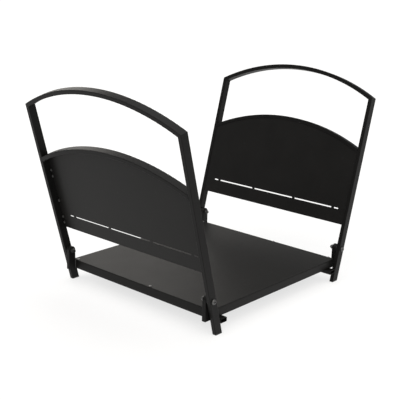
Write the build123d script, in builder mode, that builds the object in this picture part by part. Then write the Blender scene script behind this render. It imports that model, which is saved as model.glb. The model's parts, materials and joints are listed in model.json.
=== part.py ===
"""Folding firewood rack in powder-coated steel tube.

A low rectangular base with a sheet tray carries four short posts. A side frame
is bolted to the posts at each end and leans outwards. Each side frame has two
legs, an arched bow for a handle, a sheet panel under an arched rim and a stop
bar that the base rests on when the rack stands open. Both side frames fold
inwards over the tray.

Millimetres. X runs across the rack from the left frame to the right one, Y runs
from front to back, and Z is up. The origin lies under the middle of the rack, at
the level of its feet.
"""

import os
from math import cos, radians, sin, sqrt, tan

from build123d import *

# Rack
DEPTH = 480.0  # over the legs, front to back
FOOT_HALF_SPREAD = 232.5  # middle of the rack to a leg's outer face, at its foot
LEAN = 15.0  # degrees, outwards from upright

# Rectangular tube, the same everywhere
TUBE_WIDE = 20.0
TUBE_NARROW = 10.0
TUBE_WALL = 1.0
TUBE_CORNER = 1.2

# Bow, measured up the slope of a side frame from the floor
BOW_APEX = 521.0  # outer edge, in the middle
SHOULDER = 463.0  # outer edge, at the outside of the leg
BOW_HALF_TURN = 31.0  # degrees of arc on each side before the ends are cut

# Arched panel between the legs
PANEL_FOOT = 140.0
PANEL_APEX = 384.0  # top of the rim, in the middle
PANEL_SHOULDER = 333.0  # top of the rim, where it meets a leg
RIM_HALF_TURN = 28.0  # degrees of arc on each side before the ends are cut
WEB_SHEET = 1.2
SLOT_LEVEL = 177.5
SLOT_HEIGHT = 3.0
SLOT_ROW_SHIFT = 5.5  # middle of the row, in front of the middle of the panel
MIDDLE_SLOT_END = 63.0
LONG_SLOT_START = 70.5
LONG_SLOT_END = 184.75
SHORT_SLOT_START = 192.25
SHORT_SLOT_END = 205.5

# Base
BASE_BOTTOM = 33.0
BASE_HALF_DEPTH = 227.0
TRAY_SHEET = 1.2
TRAY_SETBACK = 0.6
TRAY_CORNER = 3.0
TRAY_EDGE_ROUND = 0.5

# Pivots
PIVOT_HEIGHT = 80.0
BOLT_RADIUS = 3.0
LEG_HOLE_RADIUS = 3.05
POST_HOLE_RADIUS = 3.1
BOLT_HEAD_RADIUS = 6.25
BOLT_HEAD_HEIGHT = 4.0
BOLT_HEAD_ROUND = 3.2
BOLT_SOCKET_RADIUS = 2.6
BOLT_SOCKET_DEPTH = 2.6
BOLT_TAIL = 1.8  # past the end of the nut
TURNING_GAP = 0.2  # on each side of a leg
BORE_OVER_PIVOT = 4.0  # how far the post's bore runs above the pivot
SPACER_RADIUS = 8.0
NUT_RADIUS = 5.6  # across the corners
NUT_HEIGHT = 5.0
NUT_COLLAR_RADIUS = 4.4
NUT_COLLAR_HEIGHT = 1.6
NUT_WASHER_RADIUS = 6.2
NUT_WASHER_SHEET = 1.2

# Stop bar, lying flat against the legs just under the base
STOP_BAR_TOP = BASE_BOTTOM

# Foot caps, pushed into the legs
CAP_FLANGE = 2.4
CAP_PLUG_LENGTH = 14.0
CAP_PLUG_PLAY = 0.1
CAP_PLUG_CORNER = 0.4

# Tray screws
SCREW_HEAD_RADIUS = 3.6
SCREW_HEAD_HEIGHT = 1.8
SCREW_HEAD_ROUND = 1.2
SCREW_SHANK_RADIUS = 1.8
SCREW_HOLE_RADIUS = 1.9
SCREW_LENGTH = 8.0
SCREW_RECESS_RADIUS = 1.5
SCREW_RECESS_DEPTH = 1.0
CORNER_SCREW_Y = 212.0
MIDDLE_SCREW_Y = -38.0

LEAN_SIN = sin(radians(LEAN))
LEAN_COS = cos(radians(LEAN))
LEAN_TAN = tan(radians(LEAN))
HALF_DEPTH = DEPTH / 2
LEG_INNER = HALF_DEPTH - TUBE_NARROW
LEG_MIDDLE = HALF_DEPTH - TUBE_NARROW / 2


def arc_radius(half_chord, rise):
    """Radius of the arc that rises by rise over a chord of twice half_chord."""
    return (half_chord**2 + rise**2) / (2 * rise)


BOW_RADIUS = arc_radius(HALF_DEPTH, BOW_APEX - SHOULDER)
BOW_CENTRE = BOW_APEX - BOW_RADIUS
BOW_INNER_RADIUS = BOW_RADIUS - TUBE_NARROW
INNER_SHOULDER = BOW_CENTRE + sqrt(BOW_INNER_RADIUS**2 - LEG_INNER**2)
RIM_RADIUS = arc_radius(LEG_INNER, PANEL_APEX - PANEL_SHOULDER)
RIM_CENTRE = PANEL_APEX - RIM_RADIUS

# A pivot lies on the middle line of its leg.
PIVOT_SLOPE = (PIVOT_HEIGHT - TUBE_WIDE / 2 * LEAN_SIN) / LEAN_COS
PIVOT_X = FOOT_HALF_SPREAD + PIVOT_SLOPE * LEAN_SIN - TUBE_WIDE / 2 * LEAN_COS
BASE_HALF_WIDTH = PIVOT_X - TUBE_WIDE / 2
BASE_TOP = BASE_BOTTOM + TUBE_WIDE
TRAY_TOP = BASE_TOP + TRAY_SHEET
SCREW_X = BASE_HALF_WIDTH - TUBE_NARROW / 2

# Where the inner face of a leg is at the height of the stop bar's underside
STOP_BAR_BOTTOM = STOP_BAR_TOP - TUBE_NARROW
STOP_BAR_OUTER_X = FOOT_HALF_SPREAD + STOP_BAR_BOTTOM * LEAN_TAN - TUBE_WIDE / LEAN_COS
STOP_BAR_WELD_X = FOOT_HALF_SPREAD + STOP_BAR_TOP * LEAN_TAN - TUBE_WIDE / LEAN_COS

SIDES = {"left": -1, "right": 1}
ENDS = {"front": -1, "back": 1}
os.makedirs("parts", exist_ok=True)


def save(piece, name):
    piece.part.label = name
    export_step(piece.part, f"parts/{name}.step")


def slope_direction(side):
    """Up the slope of a side frame."""
    return Vector(side * LEAN_SIN, 0, LEAN_COS)


def inward_direction(side):
    """From the outer face of a side frame to its inner face."""
    return Vector(-side * LEAN_COS, 0, LEAN_SIN)


def frame_point(side, along, up_slope, inward=0.0):
    """A point of a side frame, from its foot line on the floor."""
    foot = Vector(side * FOOT_HALF_SPREAD, along, 0)
    return foot + slope_direction(side) * up_slope + inward_direction(side) * inward


def face_plane(side, inward=0.0):
    """The outer face of a side frame: X of the plane along the rack, Y up the slope."""
    return Plane(
        origin=frame_point(side, 0, 0, inward),
        x_dir=(0, -side, 0),
        z_dir=inward_direction(side),
    )


def tube_ring(width, height):
    """The section of the tube, in the current sketch."""
    RectangleRounded(width, height, TUBE_CORNER)
    RectangleRounded(
        width - 2 * TUBE_WALL,
        height - 2 * TUBE_WALL,
        TUBE_CORNER - TUBE_WALL,
        mode=Mode.SUBTRACT,
    )


def mitre_plane(side, end):
    """The plane of the saw cut between a leg and the bow, facing down the leg."""
    outer = frame_point(side, end * HALF_DEPTH, SHOULDER)
    inner = frame_point(side, end * LEG_INNER, INNER_SHOULDER)
    across = (outer - inner).normalized()
    normal = across.cross(inward_direction(side))
    if normal.dot(slope_direction(side)) > 0:
        normal = -normal
    return Plane(origin=outer, x_dir=across, z_dir=normal)


def leg(side, end):
    section = Plane(
        origin=frame_point(side, end * LEG_MIDDLE, -TUBE_WIDE, TUBE_WIDE / 2),
        x_dir=inward_direction(side),
        z_dir=slope_direction(side),
    )
    pivot = Plane(
        origin=(side * PIVOT_X, end * LEG_MIDDLE, PIVOT_HEIGHT),
        x_dir=(1, 0, 0),
        z_dir=(0, end, 0),
    )
    with BuildPart() as piece:
        with BuildSketch(section):
            tube_ring(TUBE_WIDE, TUBE_NARROW)
        extrude(amount=SHOULDER + 2 * TUBE_WIDE)
        split(bisect_by=Plane.XY.offset(CAP_FLANGE), keep=Keep.TOP)
        split(bisect_by=mitre_plane(side, end), keep=Keep.TOP)
        with BuildSketch(pivot):
            Circle(LEG_HOLE_RADIUS)
        extrude(amount=TUBE_NARROW, both=True, mode=Mode.SUBTRACT)
    return piece


def arched_tube(side, centre_level, radius, half_turn, cuts):
    """The tube turned about a point of the side frame, then cut by the given planes."""
    centre = frame_point(side, 0, centre_level)
    radial = slope_direction(side) * cos(radians(half_turn))
    radial -= Vector(0, side * sin(radians(half_turn)), 0)
    start = Plane(
        origin=centre,
        x_dir=radial,
        z_dir=radial.cross(inward_direction(side)),
    )
    with BuildPart() as piece:
        with BuildSketch(start):
            with Locations((radius - TUBE_NARROW / 2, TUBE_WIDE / 2)):
                tube_ring(TUBE_NARROW, TUBE_WIDE)
        revolve(
            axis=Axis(centre, inward_direction(side)),
            revolution_arc=2 * half_turn,
        )
        for cut in cuts:
            split(bisect_by=cut, keep=Keep.BOTTOM)
    return piece


def bow(side):
    """Arched tube on top of the legs, cut at both shoulders."""
    shoulders = [mitre_plane(side, end) for end in ENDS.values()]
    return arched_tube(side, BOW_CENTRE, BOW_RADIUS, BOW_HALF_TURN, shoulders)


def slot(side, start, end):
    """One slot of the dashed row, in the current sketch."""
    middle = (start + end) / 2 + side * SLOT_ROW_SHIFT
    with Locations((middle, SLOT_LEVEL)):
        SlotOverall(end - start, SLOT_HEIGHT, mode=Mode.SUBTRACT)


def panel(side):
    """The flat sheet under the rim, set back by the rounding of the legs' corners."""
    spring = RIM_CENTRE + sqrt((RIM_RADIUS - TUBE_NARROW) ** 2 - LEG_INNER**2)
    with BuildPart() as piece:
        with BuildSketch(face_plane(side, TUBE_WIDE - TUBE_CORNER - WEB_SHEET)):
            with BuildLine():
                ThreePointArc(
                    (-LEG_INNER, spring),
                    (0, PANEL_APEX - TUBE_NARROW),
                    (LEG_INNER, spring),
                )
                Polyline(
                    (LEG_INNER, spring),
                    (LEG_INNER, PANEL_FOOT),
                    (-LEG_INNER, PANEL_FOOT),
                    (-LEG_INNER, spring),
                )
            make_face()
            slot(side, -MIDDLE_SLOT_END, MIDDLE_SLOT_END)
            for start, end in (
                (LONG_SLOT_START, LONG_SLOT_END),
                (SHORT_SLOT_START, SHORT_SLOT_END),
            ):
                slot(side, start, end)
                slot(side, -end, -start)
        extrude(amount=WEB_SHEET)
    return piece


def panel_rim(side):
    """Arched tube over the sheet's top edge, cut square to the rack between the legs."""
    leg_faces = [
        Plane(origin=(0, end * LEG_INNER, 0), x_dir=(1, 0, 0), z_dir=(0, end, 0))
        for end in ENDS.values()
    ]
    return arched_tube(side, RIM_CENTRE, RIM_RADIUS, RIM_HALF_TURN, leg_faces)


def stop_bar(side):
    """Open tube along the rack, welded to both legs by a wedge of weld metal."""
    middle_x = side * (STOP_BAR_OUTER_X - TUBE_WIDE / 2)
    middle_z = (STOP_BAR_BOTTOM + STOP_BAR_TOP) / 2
    section = Plane(
        origin=(middle_x, HALF_DEPTH, middle_z), x_dir=(-1, 0, 0), z_dir=(0, 1, 0)
    )
    with BuildPart() as piece:
        with BuildSketch(section):
            tube_ring(TUBE_WIDE, TUBE_NARROW)
        extrude(amount=-DEPTH)
        for end in ENDS.values():
            weld = Plane(
                origin=(0, end * LEG_MIDDLE, 0), x_dir=(1, 0, 0), z_dir=(0, -1, 0)
            )
            with BuildSketch(weld):
                with BuildLine():
                    Polyline(
                        (side * STOP_BAR_OUTER_X, STOP_BAR_BOTTOM + TUBE_CORNER),
                        (
                            side * (STOP_BAR_OUTER_X + TUBE_CORNER * LEAN_TAN),
                            STOP_BAR_BOTTOM + TUBE_CORNER,
                        ),
                        (
                            side * (STOP_BAR_WELD_X - TUBE_CORNER * LEAN_TAN),
                            STOP_BAR_TOP - TUBE_CORNER,
                        ),
                        (side * STOP_BAR_OUTER_X, STOP_BAR_TOP - TUBE_CORNER),
                        close=True,
                    )
                make_face()
            extrude(amount=TUBE_NARROW / 2 - TUBE_CORNER, both=True)
    return piece


def foot_cap(side, end):
    """A plastic plug in the foot of a leg, with a flange cut level with the floor."""
    section = Plane(
        origin=frame_point(side, end * LEG_MIDDLE, -TUBE_WIDE, TUBE_WIDE / 2),
        x_dir=inward_direction(side),
        z_dir=slope_direction(side),
    )
    bore_play = 2 * (TUBE_WALL + CAP_PLUG_PLAY)
    with BuildPart() as piece:
        with BuildSketch(section):
            RectangleRounded(TUBE_WIDE, TUBE_NARROW, TUBE_CORNER)
        extrude(amount=2 * TUBE_WIDE)
        split(bisect_by=Plane.XY.offset(CAP_FLANGE), keep=Keep.BOTTOM)
        with BuildSketch(section):
            RectangleRounded(
                TUBE_WIDE - bore_play, TUBE_NARROW - bore_play, CAP_PLUG_CORNER
            )
        extrude(amount=TUBE_WIDE + CAP_PLUG_LENGTH)
        split(bisect_by=Plane.XY, keep=Keep.TOP)
    return piece


def side_rail(side):
    """Tube on edge along the rack, mitred to the front and back rails."""
    middle_x = side * (BASE_HALF_WIDTH - TUBE_NARROW / 2)
    section = Plane(
        origin=(middle_x, BASE_HALF_DEPTH, BASE_BOTTOM + TUBE_WIDE / 2),
        x_dir=(-1, 0, 0),
        z_dir=(0, 1, 0),
    )
    with BuildPart() as piece:
        with BuildSketch(section):
            tube_ring(TUBE_NARROW, TUBE_WIDE)
        extrude(amount=-2 * BASE_HALF_DEPTH)
        for end in ENDS.values():
            split(bisect_by=corner_plane(side, end), keep=Keep.TOP)
        with BuildSketch(Plane.XY.offset(BASE_TOP - 2 * TUBE_WALL)):
            with Locations(*screw_places(side)):
                Circle(SCREW_HOLE_RADIUS)
        extrude(amount=4 * TUBE_WALL, mode=Mode.SUBTRACT)
    return piece


def end_rail(end):
    """Tube on edge across the rack, at the front or the back of the base."""
    middle_y = end * (BASE_HALF_DEPTH - TUBE_NARROW / 2)
    section = Plane(
        origin=(-BASE_HALF_WIDTH, middle_y, BASE_BOTTOM + TUBE_WIDE / 2),
        x_dir=(0, 1, 0),
        z_dir=(1, 0, 0),
    )
    with BuildPart() as piece:
        with BuildSketch(section):
            tube_ring(TUBE_NARROW, TUBE_WIDE)
        extrude(amount=2 * BASE_HALF_WIDTH)
        for side in SIDES.values():
            split(bisect_by=corner_plane(side, end), keep=Keep.BOTTOM)
    return piece


def corner_plane(side, end):
    """The mitre at a corner of the base, facing the side rail."""
    corner = Vector(side * BASE_HALF_WIDTH, end * BASE_HALF_DEPTH, 0)
    return Plane(
        origin=corner,
        x_dir=(side, end, 0),
        z_dir=(side, -end, 0),
    )


def post(side, end):
    """Short upright tube with a rounded top around the pivot."""
    middle = Plane(
        origin=(side * PIVOT_X, end * (BASE_HALF_DEPTH - TUBE_NARROW / 2), 0),
        x_dir=(1, 0, 0),
        z_dir=(0, -1, 0),
    )
    straight = PIVOT_HEIGHT - BASE_BOTTOM
    bore_height = straight + BORE_OVER_PIVOT
    with BuildPart() as piece:
        with BuildSketch(middle):
            with Locations((0, BASE_BOTTOM + straight / 2)):
                Rectangle(TUBE_WIDE, straight)
            with Locations((0, PIVOT_HEIGHT)):
                Circle(TUBE_WIDE / 2)
        extrude(amount=TUBE_NARROW / 2, both=True)
        upright_edges = (
            piece.edges().filter_by(Axis.Z).filter_by(lambda e: e.length > straight - 1)
        )
        fillet(upright_edges, TUBE_CORNER)
        with BuildSketch(middle):
            with Locations((0, BASE_BOTTOM + bore_height / 2)):
                Rectangle(TUBE_WIDE - 2 * TUBE_WALL, bore_height)
        extrude(amount=TUBE_NARROW / 2 - TUBE_WALL, both=True, mode=Mode.SUBTRACT)
        with BuildSketch(middle):
            with Locations((0, PIVOT_HEIGHT)):
                Circle(POST_HOLE_RADIUS)
        extrude(amount=TUBE_NARROW, both=True, mode=Mode.SUBTRACT)
    return piece


def screw_places(*sides):
    """Middle of each tray screw along the given sides, seen from above."""
    rows = (-CORNER_SCREW_Y, MIDDLE_SCREW_Y, CORNER_SCREW_Y)
    return [(side * SCREW_X, row) for side in sides for row in rows]


def tray():
    """Flat steel sheet on top of the base rails."""
    with BuildPart() as piece:
        with BuildSketch(Plane.XY.offset(BASE_TOP)):
            RectangleRounded(
                2 * (BASE_HALF_WIDTH - TRAY_SETBACK),
                2 * (BASE_HALF_DEPTH - TRAY_SETBACK),
                TRAY_CORNER,
            )
            with Locations(*screw_places(*SIDES.values())):
                Circle(SCREW_HOLE_RADIUS, mode=Mode.SUBTRACT)
        extrude(amount=TRAY_SHEET)
        rim = piece.faces().sort_by(Axis.Z)[-1].outer_wire().edges()
        fillet(rim, TRAY_EDGE_ROUND)
    return piece


def tray_screws():
    """Pan-head screws through the tray into the side rails, as separate solids."""
    places = screw_places(*SIDES.values())
    with BuildPart() as piece:
        with BuildSketch(Plane.XY.offset(TRAY_TOP)):
            with Locations(*places):
                Circle(SCREW_HEAD_RADIUS)
        extrude(amount=SCREW_HEAD_HEIGHT)
        fillet(piece.edges().group_by(Axis.Z)[-1], SCREW_HEAD_ROUND)
        with BuildSketch(Plane.XY.offset(TRAY_TOP - SCREW_LENGTH)):
            with Locations(*places):
                Circle(SCREW_SHANK_RADIUS)
        extrude(amount=SCREW_LENGTH)
        with BuildSketch(Plane.XY.offset(TRAY_TOP + SCREW_HEAD_HEIGHT)):
            with Locations(*places):
                Rectangle(2 * SCREW_RECESS_RADIUS, SCREW_RECESS_RADIUS / 2)
                Rectangle(SCREW_RECESS_RADIUS / 2, 2 * SCREW_RECESS_RADIUS)
        extrude(amount=-SCREW_RECESS_DEPTH, mode=Mode.SUBTRACT)
    return piece


def pivot_plane(side, end, along):
    """A plane across a pivot's axis, facing out of the rack, at a distance from its middle."""
    return Plane(
        origin=(side * PIVOT_X, end * along, PIVOT_HEIGHT),
        x_dir=(1, 0, 0),
        z_dir=(0, end, 0),
    )


def pivot_bolt(side, end):
    """Button-head bolt from the leg's outer face through leg, spacer and post."""
    under_head = HALF_DEPTH + TURNING_GAP
    tail = BASE_HALF_DEPTH - TUBE_NARROW - NUT_WASHER_SHEET - NUT_HEIGHT
    tail -= NUT_COLLAR_HEIGHT + BOLT_TAIL
    with BuildPart() as piece:
        with BuildSketch(pivot_plane(side, end, under_head)):
            Circle(BOLT_HEAD_RADIUS)
        extrude(amount=BOLT_HEAD_HEIGHT)
        outer = piece.faces().sort_by(Axis.Y)[-1 if end > 0 else 0]
        fillet(outer.edges(), BOLT_HEAD_ROUND)
        with BuildSketch(pivot_plane(side, end, under_head + BOLT_HEAD_HEIGHT)):
            RegularPolygon(BOLT_SOCKET_RADIUS, 6)
        extrude(amount=-BOLT_SOCKET_DEPTH, mode=Mode.SUBTRACT)
        with BuildSketch(pivot_plane(side, end, tail)):
            Circle(BOLT_RADIUS)
        extrude(amount=under_head - tail)
    return piece


def ring(side, end, start, stop, radius):
    """A flat ring around a pivot, between two distances from the rack's middle."""
    with BuildPart() as piece:
        with BuildSketch(pivot_plane(side, end, start)):
            Circle(radius)
            Circle(POST_HOLE_RADIUS, mode=Mode.SUBTRACT)
        extrude(amount=stop - start)
    return piece


def pivot_spacer(side, end):
    """Plastic ring that keeps the leg off the post."""
    return ring(
        side, end, BASE_HALF_DEPTH, LEG_INNER - TURNING_GAP, SPACER_RADIUS
    )


def nut_washer(side, end):
    face = BASE_HALF_DEPTH - TUBE_NARROW
    return ring(side, end, face - NUT_WASHER_SHEET, face, NUT_WASHER_RADIUS)


def pivot_nut(side, end):
    """Hexagon lock nut with a round collar, on the inner side of the post."""
    face = BASE_HALF_DEPTH - TUBE_NARROW - NUT_WASHER_SHEET
    with BuildPart() as piece:
        with BuildSketch(pivot_plane(side, end, face)):
            RegularPolygon(NUT_RADIUS, 6)
        extrude(amount=-NUT_HEIGHT)
        with BuildSketch(pivot_plane(side, end, face - NUT_HEIGHT)):
            Circle(NUT_COLLAR_RADIUS)
        extrude(amount=-NUT_COLLAR_HEIGHT)
        with BuildSketch(pivot_plane(side, end, face)):
            Circle(BOLT_RADIUS)
        extrude(amount=-NUT_HEIGHT - NUT_COLLAR_HEIGHT, mode=Mode.SUBTRACT)
    return piece


for side_name, side_sign in SIDES.items():
    for end_name, end_sign in ENDS.items():
        corner_name = f"{side_name}_{end_name}"
        save(leg(side_sign, end_sign), f"{corner_name}_leg")
        save(foot_cap(side_sign, end_sign), f"{corner_name}_foot_cap")
        save(post(side_sign, end_sign), f"{corner_name}_post")
        save(pivot_bolt(side_sign, end_sign), f"{corner_name}_pivot_bolt")
        save(pivot_spacer(side_sign, end_sign), f"{corner_name}_pivot_spacer")
        save(nut_washer(side_sign, end_sign), f"{corner_name}_nut_washer")
        save(pivot_nut(side_sign, end_sign), f"{corner_name}_pivot_nut")
    save(bow(side_sign), f"{side_name}_bow")
    save(panel(side_sign), f"{side_name}_panel")
    save(panel_rim(side_sign), f"{side_name}_panel_rim")
    save(stop_bar(side_sign), f"{side_name}_stop_bar")
    save(side_rail(side_sign), f"{side_name}_rail")

for end_name, end_sign in ENDS.items():
    save(end_rail(end_sign), f"{end_name}_rail")
save(tray(), "tray")
save(tray_screws(), "tray_screws")
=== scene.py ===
"""Folding firewood rack: finishes, welds, floor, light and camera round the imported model.

Metres. X runs across the rack from the left frame to the right one, Y runs from
front to back, and Z is up.
"""

import json
from math import cos, radians, sin, sqrt

import bpy
from mathutils import Matrix, Vector


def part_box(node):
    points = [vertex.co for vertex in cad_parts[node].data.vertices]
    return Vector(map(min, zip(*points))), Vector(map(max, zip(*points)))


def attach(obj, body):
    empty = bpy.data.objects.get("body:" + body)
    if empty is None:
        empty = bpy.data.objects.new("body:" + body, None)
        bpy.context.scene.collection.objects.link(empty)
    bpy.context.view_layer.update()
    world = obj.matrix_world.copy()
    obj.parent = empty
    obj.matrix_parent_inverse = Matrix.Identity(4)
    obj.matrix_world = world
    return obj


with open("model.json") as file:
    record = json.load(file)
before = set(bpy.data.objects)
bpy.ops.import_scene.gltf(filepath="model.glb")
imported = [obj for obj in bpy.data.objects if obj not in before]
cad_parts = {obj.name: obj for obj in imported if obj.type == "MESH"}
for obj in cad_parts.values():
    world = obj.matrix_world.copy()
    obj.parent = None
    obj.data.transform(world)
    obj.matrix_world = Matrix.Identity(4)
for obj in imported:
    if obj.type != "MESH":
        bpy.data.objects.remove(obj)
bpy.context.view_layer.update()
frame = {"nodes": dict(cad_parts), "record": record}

MM = 0.001
SIDES = {"left": -1, "right": 1}
ENDS = {"front": -1, "back": 1}

# Side frames, as they are built
LEAN = radians(15)
FOOT_HALF_SPREAD = 232.5 * MM  # middle of the rack to a leg's outer face, at its foot
LEG_INNER = 230 * MM  # middle of the rack to the facing side of a leg
TUBE_NARROW = 10 * MM
SHEET_OUTER_FACE = 17.6 * MM  # inwards from the outer face of the frame
RIM_APEX = 384 * MM  # up the slope, as is the shoulder
RIM_SHOULDER = 333 * MM

# Weld beads
BEAD = 1.5 * MM  # radius
BEAD_OFF_FACE = BEAD / 3  # from a face to the middle of a bead on it
RIM_BEADS = (-160 * MM, -80 * MM, 0, 80 * MM, 160 * MM)
RIM_BEAD_HALF_LENGTH = 2 * BEAD
RIM_END_RUN_START = 2 * BEAD  # inwards from the outer face of the frame
UNEVENNESS = 0.2  # how much smaller than the others a ripple may be
RIPPLE_SEGMENTS = 12
RIPPLE_RINGS = 7

# Weld tacks between panel and legs
TACK = 3.1 * MM  # radius
TACK_LENGTH = 2 * MM
TACK_OFF_SHEET = 0.55 * TACK
TACK_OFF_LEG = 0.9 * TACK
LEG_TACKS = (154 * MM, 170 * MM, 213 * MM, 278 * MM, 294 * MM)  # up the slope

# Powder coat
ORANGE_PEEL = 2.4 * MM
COAT_GRAIN = 0.7 * MM
COAT_MOTTLE = 60 * MM
RUBBED_SPOT = 9 * MM
COAT_RELIEF = 0.12 * MM

# Zinc plate
TURNED_GRAIN = 0.5 * MM
TURNED_GRAIN_STRETCH = (1, 0.25, 1)
DULL_SPOT = 2.2 * MM
ZINC_RELIEF = 0.03 * MM

# Moulded plastic
PLASTIC_SKIN = 0.6 * MM
PLASTIC_CLOUD = 8 * MM
PLASTIC_RELIEF = 0.08 * MM

# Floor
FLOOR_HALF = 60.0
FLOOR_CLOUD = 0.6
FLOOR_GLOW = 0.72

# Light
WORLD_COLOUR = (0.96, 0.98, 1.0, 1)
WORLD_STRENGTH = 0.24
RACK_MIDDLE = (0, 0, 0.4)
SOFTBOX = {"shape": "RECTANGLE", "size": 1.8, "size_y": 1.2}

# Camera, found from the rack's own straight edges
CAMERA_PLACE = (-1.47926, -1.29648, 0.75355)
CAMERA_YAW = radians(48.292)
CAMERA_PITCH = radians(15.591)
CAMERA_ROLL = radians(1.413)
CAMERA_REACH = 200
SENSOR_WIDTH = 36  # in millimetres, as is the lens
LENS = 75.41


def slope_direction(side):
    """Up the slope of a side frame."""
    return Vector((side * sin(LEAN), 0, cos(LEAN)))


def inward_direction(side):
    """From the outer face of a side frame to its inner face."""
    return Vector((-side * cos(LEAN), 0, sin(LEAN)))


def frame_point(side, along, up_slope, inward):
    """A point of a side frame, from its foot line."""
    foot = Vector((side * FOOT_HALF_SPREAD, along, 0))
    return foot + slope_direction(side) * up_slope + inward_direction(side) * inward


def under_rim(along):
    """How far up the slope the underside of the arched rim is."""
    rise = RIM_APEX - RIM_SHOULDER
    radius = (LEG_INNER**2 + rise**2) / (2 * rise)
    return RIM_APEX - radius + sqrt((radius - TUBE_NARROW) ** 2 - along**2)


def add_object(name, data):
    """Puts an object with that mesh, light or camera into the scene."""
    made = bpy.data.objects.new(name, data)
    bpy.context.scene.collection.objects.link(made)
    return made


class Value:
    """One output of a shader node, for use in plain sums."""

    def __init__(self, finish, socket):
        self.finish = finish
        self.socket = socket

    def maths(self, operation, *terms):
        return self.finish.node("ShaderNodeMath", {"operation": operation}, *terms)

    def __add__(self, other):
        return self.maths("ADD", self, other)

    def __sub__(self, other):
        return self.maths("SUBTRACT", self, other)

    def __rsub__(self, other):
        return self.maths("SUBTRACT", other, self)

    def __mul__(self, other):
        return self.maths("MULTIPLY", self, other)

    __radd__ = __add__
    __rmul__ = __mul__

    def above(self, level, width):
        """0 below the level and 1 above it, over a soft step of that width."""
        ramp = (self - (level - width / 2)) * (1 / width)
        return self.finish.node("ShaderNodeClamp", {}, ramp)


def feed(tree, socket, term):
    """Links a node's output to a socket, or gives the socket a plain value."""
    if isinstance(term, Value):
        term = term.socket
    if isinstance(term, bpy.types.NodeSocket):
        tree.links.new(term, socket)
    else:
        socket.default_value = term


def add_node(tree, kind, settings, *terms, **named):
    """Adds a node: its settings first, then its sockets in order or by name."""
    made = tree.nodes.new(kind)
    for key, setting in settings.items():
        setattr(made, key, setting)
    pairs = list(zip(made.inputs, terms))
    pairs += [(made.inputs[key.replace("_", " ")], term) for key, term in named.items()]
    for socket, term in pairs:
        feed(tree, socket, term)
    return made


class Finish:
    """A material made of a Principled shader and the nodes that feed it."""

    def __init__(self, name):
        self.material = bpy.data.materials.new(name)
        self.material.use_nodes = True
        self.tree = self.material.node_tree
        self.shader = self.tree.nodes["Principled BSDF"]
        self.place = self.node("ShaderNodeTexCoord", {}, output="Object")

    def node(self, kind, settings, *terms, output=0, **named):
        made = add_node(self.tree, kind, settings, *terms, **named)
        return Value(self, made.outputs[output])

    def noise(self, size, detail=2.0, stretch=None):
        """Noise whose features are about that size, in metres."""
        place = self.place
        if stretch is not None:
            place = self.node("ShaderNodeMapping", {}, Vector=place, Scale=stretch)
        return self.node(
            "ShaderNodeTexNoise", {}, Vector=place, Scale=1 / size, Detail=detail
        )

    def blend(self, factor, first, second):
        """A colour between two colours."""
        return self.node("ShaderNodeMixRGB", {}, factor, first, second)

    def bump(self, height, depth, strength):
        """Surface relief of that depth in metres."""
        relief = self.node(
            "ShaderNodeBump", {}, Height=height, Distance=depth, Strength=strength
        )
        self.set(Normal=relief)

    def set(self, **sockets):
        for key, term in sockets.items():
            feed(self.tree, self.shader.inputs[key.replace("_", " ")], term)


def grey(level, warmth=0.0):
    """An opaque grey, warmer where warmth is above 0."""
    return (level * (1 + warmth), level, level * (1 - warmth), 1)


def powder_coat(name, level, roughness, gloss):
    """Satin black powder coat: orange peel, faint mottling and a few rubbed spots."""
    finish = Finish(name)
    darker = grey(level * 0.8, warmth=0.03)
    lighter = grey(level * 1.2, warmth=0.05)
    worn = grey(level * 2.2, warmth=0.03)
    peel = finish.noise(ORANGE_PEEL, detail=1.0)
    grain = finish.noise(COAT_GRAIN)
    mottle = finish.noise(COAT_MOTTLE, detail=3.0)
    rubbed = finish.noise(RUBBED_SPOT, detail=4.0).above(level=0.70, width=0.12)
    colour = finish.blend(mottle, darker, lighter)
    finish.set(
        Base_Color=finish.blend(rubbed * 0.3, colour, worn),
        Roughness=mottle * 0.08 + grain * 0.08 - rubbed * 0.05 + roughness,
        Specular_IOR_Level=gloss,
    )
    finish.bump(peel * 0.7 + grain * 0.5, depth=COAT_RELIEF, strength=0.5)
    return finish.material


def zinc_plate(name, level, roughness):
    """Zinc plate with a fine turned grain and dull spots."""
    finish = Finish(name)
    bright = grey(level, warmth=0.01)
    dull = grey(level * 0.7, warmth=0.03)
    grain = finish.noise(TURNED_GRAIN, detail=3.0, stretch=TURNED_GRAIN_STRETCH)
    spots = finish.noise(DULL_SPOT, detail=4.0).above(level=0.58, width=0.2)
    finish.set(
        Base_Color=finish.blend(spots * 0.6, bright, dull),
        Roughness=roughness + grain * 0.14 + spots * 0.16,
        Metallic=1.0,
    )
    finish.bump(grain, depth=ZINC_RELIEF, strength=0.4)
    return finish.material


def moulded_plastic(name, level):
    """Black moulded plastic with a fine matt skin."""
    finish = Finish(name)
    darker = grey(level * 0.85)
    lighter = grey(level * 1.25)
    skin = finish.noise(PLASTIC_SKIN)
    cloud = finish.noise(PLASTIC_CLOUD)
    finish.set(
        Base_Color=finish.blend(cloud, darker, lighter),
        Roughness=0.46 + skin * 0.12,
    )
    finish.bump(skin, depth=PLASTIC_RELIEF, strength=0.5)
    return finish.material


def pale_floor(name):
    """A pale floor with a little light of its own, so that shadows on it stay pale."""
    finish = Finish(name)
    darker = grey(0.27)
    lighter = grey(0.29)
    cloud = finish.noise(FLOOR_CLOUD)
    finish.set(
        Base_Color=finish.blend(cloud, darker, lighter),
        Roughness=0.75 + cloud * 0.1,
        Specular_IOR_Level=0.1,
        Emission_Color=grey(1.0),
        Emission_Strength=FLOOR_GLOW,
    )
    return finish.material


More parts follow.
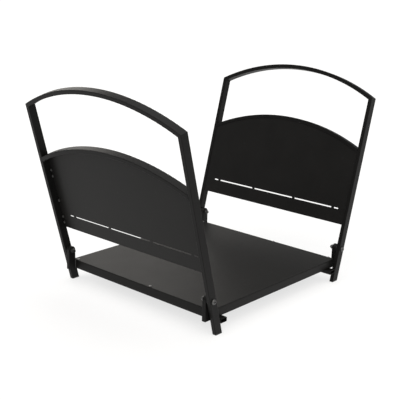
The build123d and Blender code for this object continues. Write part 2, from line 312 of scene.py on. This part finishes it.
def bead_tree():
    """Geometry Nodes: overlapping ripples along every edge of the input mesh."""
    tree = bpy.data.node_groups.new("weld_bead", "GeometryNodeTree")

    def declare(name, kind, in_out="INPUT"):
        kind = "NodeSocket" + kind
        return tree.interface.new_socket(name, in_out=in_out, socket_type=kind)

    def add(kind, settings, *terms, **named):
        return add_node(tree, kind, settings, *terms, **named)

    declare("Paths", "Geometry")
    declare("Radius", "Float").default_value = BEAD
    declare("Pitch", "Float").default_value = BEAD
    declare("Unevenness", "Float").default_value = UNEVENNESS
    declare("Seed", "Int")
    declare("Finish", "Material")
    declare("Bead", "Geometry", in_out="OUTPUT")
    given = tree.nodes.new("NodeGroupInput").outputs

    # Points along the paths, each turned along its path
    line = add("GeometryNodeMeshToCurve", {}, Mesh=given["Paths"])
    steps = add(
        "GeometryNodeResampleCurve",
        {"mode": "LENGTH"},
        Curve=line.outputs["Curve"],
        Length=given["Pitch"],
    )
    tangent = add("GeometryNodeInputTangent", {})
    turn = add(
        "FunctionNodeAlignRotationToVector", {}, Vector=tangent.outputs["Tangent"]
    )

    # One round ripple, and a size for it by chance
    ripple = add(
        "GeometryNodeMeshUVSphere",
        {},
        Segments=RIPPLE_SEGMENTS,
        Rings=RIPPLE_RINGS,
        Radius=1.0,
    )
    least = add("ShaderNodeMath", {"operation": "SUBTRACT"}, 1, given["Unevenness"])
    chance = add("FunctionNodeRandomValue", {"data_type": "FLOAT"}, Seed=given["Seed"])
    low, high = [socket for socket in chance.inputs if socket.type == "VALUE"][:2]
    feed(tree, low, least.outputs[0])
    feed(tree, high, 1)
    share = next(socket for socket in chance.outputs if socket.type == "VALUE")
    size = add("ShaderNodeMath", {"operation": "MULTIPLY"}, share, given["Radius"])

    # The ripples made one smooth mesh in the finish of the weld
    ripples = add(
        "GeometryNodeInstanceOnPoints",
        {},
        Points=steps.outputs["Curve"],
        Instance=ripple.outputs["Mesh"],
        Rotation=turn.outputs["Rotation"],
        Scale=size.outputs[0],
    )
    whole = add(
        "GeometryNodeRealizeInstances", {}, Geometry=ripples.outputs["Instances"]
    )
    smooth = add(
        "GeometryNodeSetShadeSmooth", {}, Geometry=whole.outputs["Geometry"]
    )
    coated = add(
        "GeometryNodeSetMaterial",
        {},
        Geometry=smooth.outputs["Geometry"],
        Material=given["Finish"],
    )
    add("NodeGroupOutput", {}, Bead=coated.outputs["Geometry"])
    return tree


def weld(name, body, lines, radius, seed):
    """One mesh of weld beads along straight lines, riding on a body."""
    paths = bpy.data.meshes.new(name + "_paths")
    points = [tuple(point) for line in lines for point in line]
    edges = [(2 * k, 2 * k + 1) for k in range(len(lines))]
    paths.from_pydata(points, edges, [])
    carrier = add_object(name + "_paths", paths)
    modifier = carrier.modifiers.new("Weld", "NODES")
    modifier.node_group = BEAD_TREE
    sockets = BEAD_TREE.interface.items_tree
    inputs = {s.name: s.identifier for s in sockets if s.in_out == "INPUT"}
    modifier[inputs["Radius"]] = radius
    modifier[inputs["Seed"]] = seed
    modifier[inputs["Finish"]] = WELD_FINISH
    evaluated = carrier.evaluated_get(bpy.context.evaluated_depsgraph_get())
    mesh = bpy.data.meshes.new_from_object(evaluated)
    carrier.modifiers.remove(modifier)
    bpy.data.objects.remove(carrier)
    mesh.name = name
    bead = add_object(name, mesh)
    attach(bead, body)


def leg_tack_lines(side):
    """Tacks in the corner between the panel's outer face and each leg."""
    inward = SHEET_OUTER_FACE - TACK_OFF_SHEET
    lines = []
    for end in ENDS.values():
        along = end * (LEG_INNER - TACK_OFF_LEG)
        for level in LEG_TACKS:
            lines.append(
                tuple(
                    frame_point(side, along, level + half, inward)
                    for half in (-TACK_LENGTH / 2, TACK_LENGTH / 2)
                )
            )
    return lines


def rim_weld_lines(side):
    """Short beads between sheet and rim, and a run under each end of the rim."""
    beside_sheet = SHEET_OUTER_FACE - BEAD_OFF_FACE
    lines = []
    for middle in RIM_BEADS:
        lines.append(
            tuple(
                frame_point(side, along, under_rim(along) - BEAD_OFF_FACE, beside_sheet)
                for along in (middle - RIM_BEAD_HALF_LENGTH, middle + RIM_BEAD_HALF_LENGTH)
            )
        )
    for end in ENDS.values():
        along = end * (LEG_INNER - BEAD_OFF_FACE)
        lines.append(
            tuple(
                frame_point(side, along, under_rim(along) - BEAD_OFF_FACE, inward)
                for inward in (RIM_END_RUN_START, beside_sheet)
            )
        )
    return lines


def base_weld_lines():
    """Upright runs where each post meets its side rail."""
    lines = []
    for side_name, side in SIDES.items():
        rail_low, rail_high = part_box(f"{side_name}_rail")
        outer_face = rail_high.x if side > 0 else rail_low.x
        x = outer_face + side * BEAD_OFF_FACE
        for end_name, end in ENDS.items():
            post_low, post_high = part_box(f"{side_name}_{end_name}_post")
            y = post_low.y if end > 0 else post_high.y
            foot = Vector((x, y, rail_low.z + BEAD))
            top = Vector((x, y, rail_high.z - BEAD))
            lines.append((foot, top))
    return lines


def add_floor():
    mesh = bpy.data.meshes.new("floor")
    corners = [
        (-FLOOR_HALF, -FLOOR_HALF, 0),
        (FLOOR_HALF, -FLOOR_HALF, 0),
        (FLOOR_HALF, FLOOR_HALF, 0),
        (-FLOOR_HALF, FLOOR_HALF, 0),
    ]
    mesh.from_pydata(corners, [], [(0, 1, 2, 3)])
    mesh.materials.append(pale_floor("pale_floor"))
    floor = add_object("floor", mesh)


def add_world():
    world = bpy.data.worlds.new("studio")
    bpy.context.scene.world = world
    world.use_nodes = True
    background = world.node_tree.nodes["Background"]
    background.inputs["Color"].default_value = WORLD_COLOUR
    background.inputs["Strength"].default_value = WORLD_STRENGTH


def add_light(name, kind, energy, place, target, **settings):
    """A light that shines from its place towards its target."""
    data = bpy.data.lights.new(name, kind)
    data.energy = energy
    for key, setting in settings.items():
        setattr(data, key, setting)
    lamp = add_object(name, data)
    aim = Vector(target) - Vector(place)
    lamp.location = place
    lamp.rotation_euler = aim.to_track_quat("-Z", "Y").to_euler()


def add_camera():
    """A camera at the photograph's viewing angle."""
    level_reach = cos(CAMERA_PITCH)
    forward = Vector(
        (level_reach * sin(CAMERA_YAW), level_reach * cos(CAMERA_YAW), -sin(CAMERA_PITCH))
    )
    level = Vector((cos(CAMERA_YAW), -sin(CAMERA_YAW), 0))
    upright = level.cross(forward)
    right = cos(CAMERA_ROLL) * level + sin(CAMERA_ROLL) * upright
    up = cos(CAMERA_ROLL) * upright - sin(CAMERA_ROLL) * level
    turned = Matrix((right, up, -forward)).transposed().to_4x4()
    data = bpy.data.cameras.new("camera")
    data.sensor_width = SENSOR_WIDTH
    data.lens = LENS
    data.clip_end = CAMERA_REACH
    camera = add_object("camera", data)
    camera.matrix_world = Matrix.Translation(CAMERA_PLACE) @ turned
    bpy.context.scene.camera = camera


FINISHES = {
    "powder_coated_tube": powder_coat(
        "powder_coated_tube", level=0.007, roughness=0.34, gloss=0.11
    ),
    "powder_coated_sheet": powder_coat(
        "powder_coated_sheet", level=0.010, roughness=0.32, gloss=0.12
    ),
    "powder_coated_tray": powder_coat(
        "powder_coated_tray", level=0.010, roughness=0.42, gloss=0.17
    ),
    "zinc_fasteners": zinc_plate("zinc_fasteners", level=0.12, roughness=0.28),
    "screws": zinc_plate("screws", level=0.2, roughness=0.34),
    "black_plastic": moulded_plastic("black_plastic", level=0.012),
}
# The welds carry the same black powder coat as the frame. Their base colour is lighter than
# the tube's and sheet's as a painted highlight, so the tacks show as small glints.
WELD_FINISH = powder_coat("powder_coated_weld", level=0.017, roughness=0.22, gloss=0.5)
BEAD_TREE = bead_tree()

for part in frame["record"]["subparts"]:
    materials = frame["nodes"][part["node"]].data.materials
    materials.clear()
    materials.append(FINISHES[part["material_slot"]])

weld("base_welds", "base", base_weld_lines(), BEAD, seed=3)
for side_name, side in SIDES.items():
    side_frame = f"{side_name}_frame"
    weld(f"{side_name}_rim_welds", side_frame, rim_weld_lines(side), BEAD, seed=5)
    weld(f"{side_name}_leg_tacks", side_frame, leg_tack_lines(side), TACK, seed=7)

add_floor()
add_world()
add_light(
    "overhead",
    "SUN",
    energy=3.1,
    place=(-0.6, -0.5, 3.0),
    target=(0, 0, 0),
    angle=radians(110),
    color=(1.0, 0.97, 0.93),
)
add_light(
    "back_softbox",
    "AREA",
    energy=16.0,
    place=(1.6, 2.6, 1.5),
    target=RACK_MIDDLE,
    color=(1.0, 0.96, 0.9),
    **SOFTBOX,
)
add_light(
    "high_softbox",
    "AREA",
    energy=4.0,
    place=(1.2, 0.5, 2.9),
    target=RACK_MIDDLE,
    color=(0.8, 0.91, 1.0),
    **SOFTBOX,
)
add_camera()
bpy.context.scene.view_settings.view_transform = "Standard"
